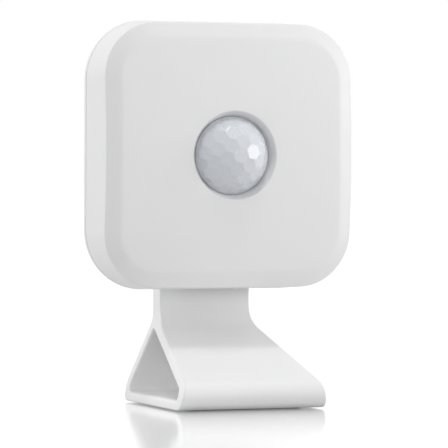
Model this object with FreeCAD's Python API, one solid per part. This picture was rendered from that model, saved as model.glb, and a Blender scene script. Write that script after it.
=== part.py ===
import FreeCAD, Part
import math
import os

# Desk-standing wireless motion sensor: a square head on a folded-ribbon stand.
# Millimetres. X to the right, Y to the rear, Z up. The object faces -Y.
# The origin is the middle of the stand's foot pad, on the surface it stands on.

# ---------------------------------------------------------------- head, outside
HEAD_HEIGHT = 40.0          # height of the head's centre above the table
FACE_Y = -4.8               # top of the slightly domed front face
FACE_DOME_R = 148.0         # spherical radius of the front face
FRONT_HALF = 20.9           # half width of the head's outline at the face
FRONT_CORNER = 8.6          # corner radius there
REAR_HALF = 21.6            # half width at the rear edge: the sides flare towards the rear
REAR_CORNER = 9.7
HEAD_DEPTH = 11.45          # face top to the flat rear of the rear cover
PARTING_DEPTH = 10.35       # where the front cover ends
PARTING_GAP = 0.07
BEVEL_WIDTH = 2.4           # sloping border round the face
BEVEL_DEPTH = 0.7
BEVEL_BLEND_R = 3.0         # soft inner edge of the bevel
RIM_EDGE_R = 0.25           # crisp outer edge of the bevel
REAR_EDGE_R = 0.4

# ---------------------------------------------------------------- head, inside
WALL = 1.4
FACE_WALL = 1.5
REAR_WALL = 1.15
SKIRT_HEIGHT = 2.0          # rim of the rear cover that sits inside the front cover
SKIRT_WALL = 1.0
SKIRT_GAP = 0.15
BOSS_POS = 15.2             # the four board screws sit at +-BOSS_POS
BOSS_R = 2.0
BOSS_START = 2.7            # depth at which a boss leaves the face wall
SCREW_HOLE_R = 0.65
SCREW_HOLE_END = 3.2
RIB_OFFSET = 7.0            # ribs on the side walls, in pairs, that the board's edge rests on
RIB_T = 0.8
RIB_START = 2.9
RIB_REACH = 1.9
POCKET_MARGIN = 3.4         # round pocket in the rear cover behind the cell
POCKET_DEPTH = 0.25
CORNER_NOTCH_R = 3.0        # cut from the skirt round each screw head
PRY_WIDTH = 9.0             # notch at the top for a coin or a fingernail
PRY_HEIGHT = 1.2
PRY_DEPTH = 0.45

# ---------------------------------------------------------------- lens
LENS_SEAT = 2.25            # depth of the lens flange's front
LENS_DOME_R = 6.6
LENS_DOME_CENTRE = 3.95     # depth of the dome's centre
LENS_WALL = 0.5
LENS_HOLE_R = 6.42
LENS_LIP_R = 0.8            # rounded lip of the hole in the face
FLANGE_R = 7.9
FLANGE_T = 0.8
FLANGE_GAP = 0.08
CUP_WALL = 1.0              # ring wall round the flange, inside the cover
CUP_END = 3.9
RETAINER_T = 0.9
RETAINER_INNER_R = 5.4
RETAINER_NOTCHES = 3
RETAINER_NOTCH_R = 0.9
SHROUD_GAP = 0.05
SHROUD_FRONT_R = 5.2
SHROUD_REAR_R = 4.6
SHROUD_INNER_R = 3.7

# ---------------------------------------------------------------- board and parts
BOARD_FRONT = 5.9           # depth of the board's front side
BOARD_T = 0.8
BOARD_HALF = 18.4
BOARD_CORNER = 5.6
BOARD_HOLE_R = 0.95
SCREW_DEPTH = 2.5           # reach of a board screw below the board's front
SCREW_HEAD_R = 1.45
SCREW_HEAD_T = 0.95
SCREW_HEAD_EDGE_R = 0.4
CROSS_LENGTH = 1.5
CROSS_WIDTH = 0.35
CROSS_FLOOR = 0.5           # metal left under the cross recess
PIR_SIZE = 4.7
PIR_HEIGHT = 2.4
PIR_BASE_T = 0.9
PIR_WINDOW = 2.9
PIR_WINDOW_REAR = 2.0       # height of the window's rear side above the board
PIR_WINDOW_SET = 0.05       # the window lies this far inside the can's front
PIR_CORNER_R = 0.5

# Parts on the board: x and z from the head's centre, width, height, thickness.
WARMTH_SLOT = (-11.6, -15.2, 0.9, 6.5)      # no thickness: it goes right through the board
RADIO_SHIELD = (8.6, 11.4, 8.6, 8.2, 1.7)
RADIO_CHIP = (8.6, 11.4, 5.0, 5.0, 0.9)
CHIP_ANTENNA = (-7.6, 16.3, 7.0, 2.0, 1.2)
BULK_CAPACITOR = (-3.0, -13.4, 3.5, 2.8, 1.9)
INDUCTOR = (4.4, -13.4, 3.0, 3.0, 1.2)
RADIO_CRYSTAL = (2.2, 14.2, 3.2, 2.5, 0.7)
CLOCK_CRYSTAL = (1.6, 10.6, 3.2, 1.5, 0.8)
SIGNAL_AMPLIFIER = (-9.5, -6.5, 4.9, 3.9, 1.2)
THERMISTOR = (-14.4, -10.4, 1.6, 0.8, 0.8)
MEMORY_CHIP = (-11.5, -9.5, 3.0, 3.0, 0.8)
RESISTOR = (1.6, 0.8, 0.45)                 # width, height, thickness
CAPACITOR = (1.6, 0.9, 0.8)
SHIELD_T = 0.2              # sheet of the radio shield
SHIELD_EDGE_R = 0.3
INDUCTOR_CORNER_R = 0.5

# ---------------------------------------------------------------- coin cell, its holder, button
CELL_R = 10.0               # CR2032 coin cell
CELL_T = 3.2
CELL_Z = 7.4                # centre of the cell above the head's centre
CELL_FRONT = 7.0
CELL_SHEET = 0.3            # steel sheet of the can
CELL_EDGE_R = 0.5
CAN_START = 0.35            # the can's rim begins this far behind the cap's face
GASKET_WALL = 0.45
CAP_HEIGHT = 2.6
HOLDER_GAP = 0.2            # room round the cell
HOLDER_WALL = 1.0
HOLDER_HEIGHT = 2.9
HOLDER_SEAT_R = 6.4         # opening in the ledge that the cell rests on
FINGER_GAP_WIDTH = 9.0
CLIP_GAP_WIDTH = 5.4
HOOK_X = 5.5                # two hooks hold the cell's lower rim
HOOK_WIDTH = 1.6
HOOK_T = 0.3
CONTACT_T = 0.2             # sheet of the positive clip
CONTACT_WIDTH = 4.8
SPRING_T = 0.15             # sheet of the negative contact
SPRING_SPAN = 9.0
SPRING_ARM = 1.6
SPRING_PAD_R = 2.6
SPRING_BUMP_R = 0.9
BUTTON_X = 13.2
BUTTON_Z = -9.0
SWITCH_SIZE = 4.5
SWITCH_HEIGHT = 1.0
SWITCH_PLATE_SIZE = 4.3
SWITCH_PLATE_T = 0.25
SWITCH_HOLE_R = 1.25
PLUNGER_R = 1.1
PLUNGER_START = 0.3
PLUNGER_HEIGHT = 1.0
PLUNGER_EDGE_R = 0.2

# ---------------------------------------------------------------- stand
RAMP_T = 1.7                # wall of the front leg
LEG_T = 1.9                 # wall of the rear leg
FLOOR_T = 1.5               # wall of the base
STEM_WIDTH = 15.6
STEM_FRONT = 8.5
STEM_T = 3.45
STEM_TOP = 37.2
STEM_CORNER_R = 2.5
BASE_WIDTH = 25.0           # at the table
KNUCKLE_WIDTH = 23.9        # where the flare eases off above the foot
FOOT_FRONT = 13.7           # how far the rounded foot reaches forward
FOOT_R = 2.35
RAMP_ANGLE = 22.0           # slope of the front leg, degrees
KNEE_R = 4.6                # concave bend between the stem and the front leg
HEEL_Y = 13.0               # rear leg's foot
HEEL_R = 1.3
REAR_BEND_Z = 12.6          # where the rear leg leaves the stem
REAR_BEND_R = 8.0
FLARE_TOP = 13.5            # the ribbon widens below this height
KNUCKLE_Z = 3.3             # and widens more slowly below this one
FLARE_BLEND_R = 5.5
APEX_R = 0.2                # inner corners of the triangular opening
TOE_R = 1.0
HEEL_INNER_R = 0.8
BASE_LIFT = 0.2             # the plastic stands this far above the table, on its pad
PAD_T = 0.5
PAD_LENGTH = 20.0
PAD_WIDTH = 19.0
PAD_CORNER_R = 1.5
PAD_GAP = 0.1               # between the pad and its recess
STEM_TOP_EDGE_R = 0.6

# ---------------------------------------------------------------- rail and dock
RAIL_BOTTOM = 22.8
RAIL_TOP = 35.6
RAIL_NECK = 5.0
RAIL_HEAD = 8.2
RAIL_HEAD_T = 0.85
RAIL_NECK_T = 1.0
RAIL_END_GAP = 0.05
SLIDE_GAP = 0.15
DOCK_HALF = 6.8
DOCK_BOTTOM = 22.4
DOCK_TOP = 37.0
DOCK_TAPER = 0.6
DOCK_CORNER_R = 1.2

os.makedirs("parts", exist_ok=True)
V = FreeCAD.Vector


# ---------------------------------------------------------------- small helpers
def depth(d):
    """Y of a point that lies d behind the top of the face."""
    return FACE_Y + d


def block(x0, x1, y0, y1, z0, z1):
    return Part.makeBox(x1 - x0, y1 - y0, z1 - z0, V(x0, y0, z0))


def head_block(x, z, width, height, front, back):
    """Box on the head, centred on x, z and running from depth front to depth back."""
    zc = HEAD_HEIGHT + z
    return block(x - width / 2, x + width / 2, depth(front), depth(back),
                 zc - height / 2, zc + height / 2)


def head_cylinder(x, z, radius, front, back):
    """Cylinder on the head with its axis along Y."""
    return Part.makeCylinder(radius, back - front, V(x, depth(front), HEAD_HEIGHT + z), V(0, 1, 0))


def head_ring(x, z, outer, inner, front, back):
    return head_cylinder(x, z, outer, front, back).cut(head_cylinder(x, z, inner, front - 1, back + 1))


def rounded_square(half, corner, d, x=0.0, z=0.0, half_z=None):
    """Closed wire of a rounded rectangle at depth d."""
    tall = half if half_z is None else half_z
    edges = []
    y = depth(d)
    zc = HEAD_HEIGHT + z
    turn = math.sqrt(0.5) * corner
    corners = [(1, 1), (-1, 1), (-1, -1), (1, -1)]
    arcs = []
    for sx, sz in corners:
        cx = x + sx * (half - corner)
        cz = zc + sz * (tall - corner)
        side = V(cx + sx * corner, y, cz)
        middle = V(cx + sx * turn, y, cz + sz * turn)
        top = V(cx, y, cz + sz * corner)
        arcs.append((side, middle, top) if sx * sz > 0 else (top, middle, side))
    for i, (start, middle, end) in enumerate(arcs):
        edges.append(Part.Arc(start, middle, end).toShape())
        edges.append(Part.LineSegment(end, arcs[(i + 1) % 4][0]).toShape())
    return Part.Wire(edges)


def square_prism(half, corner, front, back, **place):
    wire = rounded_square(half, corner, front, **place)
    return Part.Face(wire).extrude(V(0, back - front, 0))


def flared_body(inset, front, back):
    """The head's flared outline, moved inwards by inset, between two depths."""
    wires = []
    for d in (front, back):
        share = d / HEAD_DEPTH
        half = FRONT_HALF + share * (REAR_HALF - FRONT_HALF) - inset
        corner = FRONT_CORNER + share * (REAR_CORNER - FRONT_CORNER) - inset
        wires.append(rounded_square(half, corner, d))
    return Part.makeLoft(wires, True, True)


def face_ball(inset):
    """Large ball whose front is the domed face, moved inwards by inset."""
    return Part.makeSphere(FACE_DOME_R - inset, V(0, FACE_Y + FACE_DOME_R, HEAD_HEIGHT))


def edges_where(shape, test):
    return [edge for edge in shape.Edges if test(edge)]


def group(shapes):
    return Part.makeCompound(shapes)


def screw_places():
    return [(x, z) for x in (-BOSS_POS, BOSS_POS) for z in (-BOSS_POS, BOSS_POS)]


# ---------------------------------------------------------------- covers
def front_cover():
    body = flared_body(0.0, -1.0, PARTING_DEPTH).common(face_ball(0.0))
    rim = edges_where(body, lambda e: e.BoundBox.YMax < depth(4.0))
    body = bevelled(body, rim)
    cavity = flared_body(WALL, -0.5, PARTING_DEPTH + 1.0).common(face_ball(FACE_WALL))
    shell = body.cut(cavity)
    cup = head_cylinder(0, 0, FLANGE_R + SKIRT_GAP + CUP_WALL, 1.0, CUP_END)
    cup = cup.cut(head_cylinder(0, 0, FLANGE_R + FLANGE_GAP, LENS_SEAT, CUP_END + 1))
    shell = shell.fuse(cup)
    for x, z in screw_places():
        shell = shell.fuse(head_cylinder(x, z, BOSS_R, BOSS_START, BOARD_FRONT))
        shell = shell.cut(head_cylinder(x, z, SCREW_HOLE_R, SCREW_HOLE_END, BOARD_FRONT + 1))
    for turn in range(4):
        for offset in (-RIB_OFFSET, RIB_OFFSET):
            rib = block(-RIB_T / 2, RIB_T / 2, depth(RIB_START), depth(BOARD_FRONT), -RIB_REACH, 0)
            rib.translate(V(offset, 0, FRONT_HALF - WALL + 0.5))
            rib.rotate(V(0, 0, 0), V(0, 1, 0), 90 * turn)
            rib.translate(V(0, 0, HEAD_HEIGHT))
            shell = shell.fuse(rib)
    shell = shell.cut(head_cylinder(0, 0, LENS_HOLE_R, -3, LENS_SEAT + 0.01))
    lip = edges_where(shell, is_lens_lip)
    shell = shell.makeFillet(LENS_LIP_R, lip)
    return shell.removeSplitter()


def is_lens_lip(edge):
    box = edge.BoundBox
    round_hole = abs(box.XMax - LENS_HOLE_R) < 0.05 and abs(box.XMin + LENS_HOLE_R) < 0.05
    return round_hole and box.YMax < depth(0.6)


def bevelled(body, rim):
    """Wide shallow bevel round the face, with a soft inner edge and a crisp outer edge."""
    best = None
    for first, second in ((BEVEL_DEPTH, BEVEL_WIDTH), (BEVEL_WIDTH, BEVEL_DEPTH)):
        trial = body.makeChamfer(first, second, rim)
        side_rim = max(e.BoundBox.YMax for e in trial.Edges if e.BoundBox.YMax < depth(6.0))
        if best is None or side_rim < best[0]:
            best = (side_rim, trial)
    body = best[1]
    inner = edges_where(body, lambda e: e.BoundBox.ZMax < HEAD_HEIGHT + FRONT_HALF - 1.0
                        and e.BoundBox.ZMin > HEAD_HEIGHT - FRONT_HALF + 1.0
                        and abs(e.BoundBox.XMax) < FRONT_HALF - 1.0
                        and abs(e.BoundBox.XMin) < FRONT_HALF - 1.0
                        and e.BoundBox.YMax < depth(4.0)
                        and not crosses_bevel(e))
    body = body.makeFillet(BEVEL_BLEND_R, inner)
    outer = edges_where(body, is_outer_rim)
    return body.makeFillet(RIM_EDGE_R, outer)


def crosses_bevel(edge):
    """True for the short seams that run across the bevel."""
    return edge.Length < BEVEL_WIDTH * 1.3


def is_outer_rim(edge):
    box = edge.BoundBox
    if box.YMax > depth(4.0) or crosses_bevel(edge):
        return False
    middle = edge.valueAt((edge.FirstParameter + edge.LastParameter) / 2)
    share = (middle.y - FACE_Y) / HEAD_DEPTH
    half = FRONT_HALF + share * (REAR_HALF - FRONT_HALF)
    corner = FRONT_CORNER + share * (REAR_CORNER - FRONT_CORNER)
    dx = max(abs(middle.x) - (half - corner), 0.0)
    dz = max(abs(middle.z - HEAD_HEIGHT) - (half - corner), 0.0)
    return abs(math.hypot(dx, dz) - corner) < 0.05


def rear_cover():
    start = PARTING_DEPTH + PARTING_GAP
    plate = flared_body(0.0, start, HEAD_DEPTH)
    rear_edges = edges_where(plate, lambda e: e.BoundBox.YMin > depth(HEAD_DEPTH) - 0.01)
    plate = plate.makeFillet(REAR_EDGE_R, rear_edges)
    inner_depth = HEAD_DEPTH - REAR_WALL
    skirt_front = PARTING_DEPTH - SKIRT_HEIGHT
    inset = WALL + SKIRT_GAP
    skirt = flared_body(inset, skirt_front, start + 0.1)
    skirt = skirt.cut(flared_body(inset + SKIRT_WALL, skirt_front - 1, inner_depth))
    cover = plate.fuse(skirt)
    pocket = head_cylinder(0, CELL_Z, CELL_R + POCKET_MARGIN, inner_depth - 0.5, inner_depth + POCKET_DEPTH)
    cover = cover.cut(pocket.common(flared_body(inset + SKIRT_WALL, skirt_front, HEAD_DEPTH)))
    for x, z in screw_places():
        cover = cover.cut(head_cylinder(x, z, CORNER_NOTCH_R, skirt_front - 1, inner_depth))
    cover = cover.cut(head_block(0, REAR_HALF, PRY_WIDTH, PRY_HEIGHT, start - 0.01, start + PRY_DEPTH))
    cover = cover.fuse(dock())
    return cover.removeSplitter()


def dock():
    """Raised pad on the rear with a T-slot that is open at the bottom."""
    back = STEM_FRONT - SLIDE_GAP - FACE_Y
    middle = (DOCK_TOP + DOCK_BOTTOM) / 2 - HEAD_HEIGHT
    tall = (DOCK_TOP - DOCK_BOTTOM) / 2
    low = rounded_square(DOCK_HALF + DOCK_TAPER, DOCK_CORNER_R + DOCK_TAPER, HEAD_DEPTH - 0.02,
                         z=middle, half_z=tall + DOCK_TAPER)
    high = rounded_square(DOCK_HALF, DOCK_CORNER_R, back, z=middle, half_z=tall)
    pad = Part.makeLoft([low, high], True, True)
    under = DOCK_BOTTOM - 3.0
    neck = block(-RAIL_NECK / 2 - SLIDE_GAP, RAIL_NECK / 2 + SLIDE_GAP,
                 depth(back) - 3.0, depth(back) + 1.0, under, RAIL_TOP + RAIL_END_GAP)
    slot_rear = STEM_FRONT - RAIL_NECK_T + SLIDE_GAP
    slot_front = STEM_FRONT - RAIL_NECK_T - RAIL_HEAD_T - RAIL_END_GAP
    head = block(-RAIL_HEAD / 2 - SLIDE_GAP, RAIL_HEAD / 2 + SLIDE_GAP,
                 slot_front, slot_rear, under, RAIL_TOP + RAIL_END_GAP)
    neck = neck.common(block(-20, 20, slot_front, 40, 0, 80))
    return pad.cut(neck).cut(head)


# ---------------------------------------------------------------- lens group
def fresnel_lens():
    ball = Part.makeSphere(LENS_DOME_R, V(0, depth(LENS_DOME_CENTRE), HEAD_HEIGHT))
    hollow = Part.makeSphere(LENS_DOME_R - LENS_WALL, V(0, depth(LENS_DOME_CENTRE), HEAD_HEIGHT))
    front_part = head_cylinder(0, 0, 20, -8, LENS_SEAT + 0.01)
    dome = ball.common(front_part)
    flange = head_cylinder(0, 0, FLANGE_R, LENS_SEAT + 0.01, LENS_SEAT + FLANGE_T)
    lens = dome.fuse(flange).cut(hollow)
    throat = math.sqrt((LENS_DOME_R - LENS_WALL) ** 2 - (LENS_DOME_CENTRE - LENS_SEAT) ** 2)
    lens = lens.cut(head_cylinder(0, 0, throat, LENS_SEAT, LENS_SEAT + FLANGE_T + 1))
    return lens.removeSplitter()


def lens_retainer():
    start = LENS_SEAT + FLANGE_T
    ring = head_ring(0, 0, FLANGE_R, RETAINER_INNER_R, start, start + RETAINER_T)
    for k in range(RETAINER_NOTCHES):
        angle = math.pi / 2 + 2 * math.pi * k / RETAINER_NOTCHES
        notch = head_cylinder(FLANGE_R * math.cos(angle), FLANGE_R * math.sin(angle), RETAINER_NOTCH_R,
                              start - 1, start + 3)
        ring = ring.cut(notch)
    return ring


def sensor_shroud():
    """Soft black ring between the board and the lens that keeps stray warmth out."""
    front = LENS_SEAT + FLANGE_T + RETAINER_T + SHROUD_GAP
    outer = Part.makeCone(SHROUD_FRONT_R, SHROUD_REAR_R, BOARD_FRONT - front,
                          V(0, depth(front), HEAD_HEIGHT), V(0, 1, 0))
    return outer.cut(head_cylinder(0, 0, SHROUD_INNER_R, front - 1, BOARD_FRONT + 1))


# ---------------------------------------------------------------- board
def circuit_board():
    board = square_prism(BOARD_HALF, BOARD_CORNER, BOARD_FRONT, BOARD_FRONT + BOARD_T)
    for x, z in screw_places():
        board = board.cut(head_cylinder(x, z, BOARD_HOLE_R, BOARD_FRONT - 1, BOARD_FRONT + 2))
    # slot that keeps the board's own warmth away from the thermistor
    return board.cut(head_block(*WARMTH_SLOT, BOARD_FRONT - 1, BOARD_FRONT + 2))


def board_screw(x, z):
    rear = BOARD_FRONT + BOARD_T
    shank = head_cylinder(x, z, SCREW_HOLE_R, BOARD_FRONT - SCREW_DEPTH, rear)
    head = head_cylinder(x, z, SCREW_HEAD_R, rear, rear + SCREW_HEAD_T)
    rim = edges_where(head, lambda e: e.BoundBox.YMin > depth(rear + SCREW_HEAD_T) - 0.01)
    head = head.makeFillet(SCREW_HEAD_EDGE_R, rim)
    cross = head_block(x, z, CROSS_LENGTH, CROSS_WIDTH, rear + CROSS_FLOOR, rear + 2)
    cross = cross.fuse(head_block(x, z, CROSS_WIDTH, CROSS_LENGTH, rear + CROSS_FLOOR, rear + 2))
    return shank.fuse(head).cut(cross)


def board_screws():
    return group([board_screw(x, z) for x, z in screw_places()])


def front_part(x, z, width, height, thick):
    """Plain component body on the board's front side."""
    return head_block(x, z, width, height, BOARD_FRONT - thick, BOARD_FRONT)


def rear_part(x, z, width, height, thick, lift=0.0):
    """Plain component body on the board's rear side."""
    rear = BOARD_FRONT + BOARD_T + lift
    return head_block(x, z, width, height, rear, rear + thick)


def pir_base():
    return front_part(0, 0, PIR_SIZE, PIR_SIZE, PIR_BASE_T)


def pir_can():
    size = PIR_SIZE - 0.3
    can = head_block(0, 0, size, size, BOARD_FRONT - PIR_HEIGHT, BOARD_FRONT - PIR_BASE_T)
    upright = edges_where(can, lambda e: abs(e.Length - (PIR_HEIGHT - PIR_BASE_T)) < 0.01)
    can = can.makeFillet(PIR_CORNER_R, upright)
    return can.cut(head_block(0, 0, PIR_WINDOW, PIR_WINDOW,
                              BOARD_FRONT - PIR_HEIGHT - 1, BOARD_FRONT - PIR_WINDOW_REAR))


def pir_window():
    return head_block(0, 0, PIR_WINDOW, PIR_WINDOW,
                      BOARD_FRONT - PIR_HEIGHT + PIR_WINDOW_SET, BOARD_FRONT - PIR_WINDOW_REAR)


def radio_shield():
    x, z, width, height, thick = RADIO_SHIELD
    can = front_part(x, z, width, height, thick)
    lid = edges_where(can, lambda e: e.BoundBox.YMax < depth(BOARD_FRONT - thick) + 0.01)
    can = can.makeFillet(SHIELD_EDGE_R, lid)
    return can.cut(head_block(x, z, width - 2 * SHIELD_T, height - 2 * SHIELD_T,
                              BOARD_FRONT - thick + SHIELD_T, BOARD_FRONT + 1))


def radio_chip():
    return front_part(*RADIO_CHIP)


def chip_antenna():
    return front_part(*CHIP_ANTENNA)


def row(count, first_x, first_z, step_x, step_z, size, maker):
    """Equal parts in a line, from the first one's centre on."""
    return [maker(first_x + k * step_x, first_z + k * step_z, *size) for k in range(count)]


def resistors():
    shapes = row(5, -14.5, 3.0, 0, 1.7, RESISTOR, front_part)
    shapes += row(4, 13.0, -3.0, 0, -1.8, RESISTOR, front_part)
    shapes += row(3, -6.0, -17.0, 2.6, 0, RESISTOR, rear_part)
    return group(shapes)


def capacitors():
    shapes = row(4, -10.5, 4.0, 0, 2.0, CAPACITOR, front_part)
    shapes += row(3, 9.0, -6.0, 0, -2.2, CAPACITOR, front_part)
    shapes += row(3, 2.6, -17.0, 2.6, 0, CAPACITOR, rear_part)
    return group(shapes)


def bulk_capacitor():
    return rear_part(*BULK_CAPACITOR)


def inductor():
    coil = rear_part(*INDUCTOR)
    upright = edges_where(coil, lambda e: abs(e.Length - INDUCTOR[-1]) < 0.01)
    return coil.makeFillet(INDUCTOR_CORNER_R, upright)


def radio_crystal():
    return front_part(*RADIO_CRYSTAL)


def clock_crystal():
    return front_part(*CLOCK_CRYSTAL)


def signal_amplifier():
    return front_part(*SIGNAL_AMPLIFIER)


def thermistor():
    return front_part(*THERMISTOR)


def memory_chip():
    return rear_part(*MEMORY_CHIP)


# ---------------------------------------------------------------- battery
def battery_holder():
    """Plastic frame round the cell, open at the top so that the cell can be tilted out."""
    rear = BOARD_FRONT + BOARD_T
    inner = CELL_R + HOLDER_GAP
    cell_rear = CELL_FRONT + CELL_T
    ring = head_ring(0, CELL_Z, inner + HOLDER_WALL, inner, rear, rear + HOLDER_HEIGHT)
    ledge = head_ring(0, CELL_Z, CELL_R + HOLDER_WALL, HOLDER_SEAT_R, rear, CELL_FRONT - 0.02)
    frame = ring.fuse(ledge)
    finger_gap = head_block(0, CELL_Z + CELL_R, FINGER_GAP_WIDTH, 6.0, CELL_FRONT, rear + 6)
    clip_gap = head_block(-CELL_R - 1, CELL_Z, 4.0, CLIP_GAP_WIDTH, rear - 0.1, rear + 6)
    frame = frame.cut(finger_gap).cut(clip_gap)
    for x in (-HOOK_X, HOOK_X):
        tab = head_block(x, CELL_Z - CELL_R - 0.7, HOOK_WIDTH, 1.6, rear + 2.8, cell_rear + HOOK_T)
        hook = head_block(x, CELL_Z - CELL_R + 0.25, HOOK_WIDTH, 1.5, cell_rear + 0.02, cell_rear + HOOK_T)
        frame = frame.fuse(tab).fuse(hook)
    return frame.removeSplitter()


def positive_clip():
    """Bent strip at the left that touches the cell's rim and holds its rear face."""
    rear = BOARD_FRONT + BOARD_T
    edge = -CELL_R - 0.02
    arm_front = CELL_FRONT + CELL_T + 0.05
    arm_rear = arm_front + CONTACT_T
    foot = head_block(edge - 1.6, CELL_Z, 2.4, CONTACT_WIDTH, rear, rear + CONTACT_T)
    wall = head_block(edge - 0.5, CELL_Z, CONTACT_T, CONTACT_WIDTH, rear, arm_rear)
    arm = head_block(edge + 1.2, CELL_Z, 3.6, CONTACT_WIDTH, arm_front, arm_rear)
    return foot.fuse(wall).fuse(arm).removeSplitter()


def negative_contact():
    """Sprung cross on the board that touches the cell's small cap."""
    rear = BOARD_FRONT + BOARD_T
    pad = head_cylinder(0, CELL_Z, SPRING_PAD_R, rear, rear + SPRING_T)
    arm_a = head_block(0, CELL_Z, SPRING_SPAN, SPRING_ARM, rear, rear + SPRING_T)
    arm_b = head_block(0, CELL_Z, SPRING_ARM, SPRING_SPAN, rear, rear + SPRING_T)
    bump = head_cylinder(0, CELL_Z, SPRING_BUMP_R, rear + 0.1, CELL_FRONT - 0.01)
    return pad.fuse(arm_a).fuse(arm_b).fuse(bump).removeSplitter()


def cell_can():
    """Positive can of the cell: its broad rear face and its rim."""
    back = CELL_FRONT + CELL_T
    can = head_cylinder(0, CELL_Z, CELL_R, CELL_FRONT + CAN_START, back)
    edges = edges_where(can, lambda e: e.BoundBox.YMin > depth(back) - 0.01 and e.BoundBox.XLength > 1)
    can = can.makeFillet(CELL_EDGE_R, edges)
    return can.cut(head_cylinder(0, CELL_Z, CELL_R - CELL_SHEET, CELL_FRONT - 1, back - CELL_SHEET))


def cell_gasket():
    outer = CELL_R - CELL_SHEET
    return head_ring(0, CELL_Z, outer, outer - GASKET_WALL, CELL_FRONT + 0.3, CELL_FRONT + CAP_HEIGHT)


def cell_cap():
    """Negative cap of the cell, facing the board."""
    radius = CELL_R - CELL_SHEET - GASKET_WALL
    cap = head_cylinder(0, CELL_Z, radius, CELL_FRONT, CELL_FRONT + CAP_HEIGHT)
    edges = edges_where(cap, lambda e: e.BoundBox.YMax < depth(CELL_FRONT) + 0.01 and e.BoundBox.XLength > 1)
    return cap.makeFillet(CELL_EDGE_R, edges)


# ---------------------------------------------------------------- pairing button
def switch_base():
    return rear_part(BUTTON_X, BUTTON_Z, SWITCH_SIZE, SWITCH_SIZE, SWITCH_HEIGHT)


def switch_cover():
    """Thin metal plate on the switch with a hole for its plunger."""
    plate = rear_part(BUTTON_X, BUTTON_Z, SWITCH_PLATE_SIZE, SWITCH_PLATE_SIZE, SWITCH_PLATE_T,
                      lift=SWITCH_HEIGHT)
    return plate.cut(head_cylinder(BUTTON_X, BUTTON_Z, SWITCH_HOLE_R, BOARD_FRONT, BOARD_FRONT + 5))


def switch_plunger():
    start = BOARD_FRONT + BOARD_T + SWITCH_HEIGHT + PLUNGER_START
    end = start + PLUNGER_HEIGHT
    stem = head_cylinder(BUTTON_X, BUTTON_Z, PLUNGER_R, start, end)
    top = edges_where(stem, lambda e: e.BoundBox.YMin > depth(end) - 0.01 and e.BoundBox.XLength > 1)
    return stem.makeFillet(PLUNGER_EDGE_R, top)


# ---------------------------------------------------------------- stand
def fillet_points(previous, corner, following, radius):
    """Start, middle and end of the arc that rounds a corner of a flat outline."""
    a = V(previous[0] - corner[0], previous[1] - corner[1], 0)
    b = V(following[0] - corner[0], following[1] - corner[1], 0)
    a.normalize()
    b.normalize()
    half_angle = a.getAngle(b) / 2
    reach = radius / math.tan(half_angle)
    bisector = a + b
    bisector.normalize()
    centre_distance = radius / math.sin(half_angle)
    middle_distance = centre_distance - radius
    start = (corner[0] + a.x * reach, corner[1] + a.y * reach)
    middle = (corner[0] + bisector.x * middle_distance, corner[1] + bisector.y * middle_distance)
    end = (corner[0] + b.x * reach, corner[1] + b.y * reach)
    return start, middle, end


def rounded_outline(points, to_vector):
    """Closed wire through (u, v, radius) points, each corner rounded by its radius."""
    count = len(points)
    pieces = []
    for i in range(count):
        corner = points[i]
        if corner[2] > 0:
            pieces.append(fillet_points(points[i - 1], corner, points[(i + 1) % count], corner[2]))
        else:
            pieces.append((corner[:2],))
    edges = []
    for i in range(count):
        piece = pieces[i]
        if len(piece) == 3:
            edges.append(Part.Arc(*[to_vector(p) for p in piece]).toShape())
        start = to_vector(piece[-1])
        end = to_vector(pieces[(i + 1) % count][0])
        if start.distanceToPoint(end) > 1e-6:
            edges.append(Part.LineSegment(start, end).toShape())
    return Part.Wire(edges)


def side_view(point):
    return V(0, point[0], point[1])


def front_view(point):
    return V(point[0], 0, point[1])


SLOPE = math.tan(math.radians(RAMP_ANGLE))
FOOT_CENTRE = FOOT_R - FOOT_FRONT
RAMP_FOOT_Y = FOOT_CENTRE - FOOT_R / math.tan(math.radians(RAMP_ANGLE / 2))
STEM_REAR = STEM_FRONT + STEM_T


def ramp_height(y, drop=0.0):
    """Height of the front leg's upper surface at y, lowered square to the surface by drop."""
    return BASE_LIFT + (y - RAMP_FOOT_Y) * SLOPE - drop / math.cos(math.radians(RAMP_ANGLE))


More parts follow.
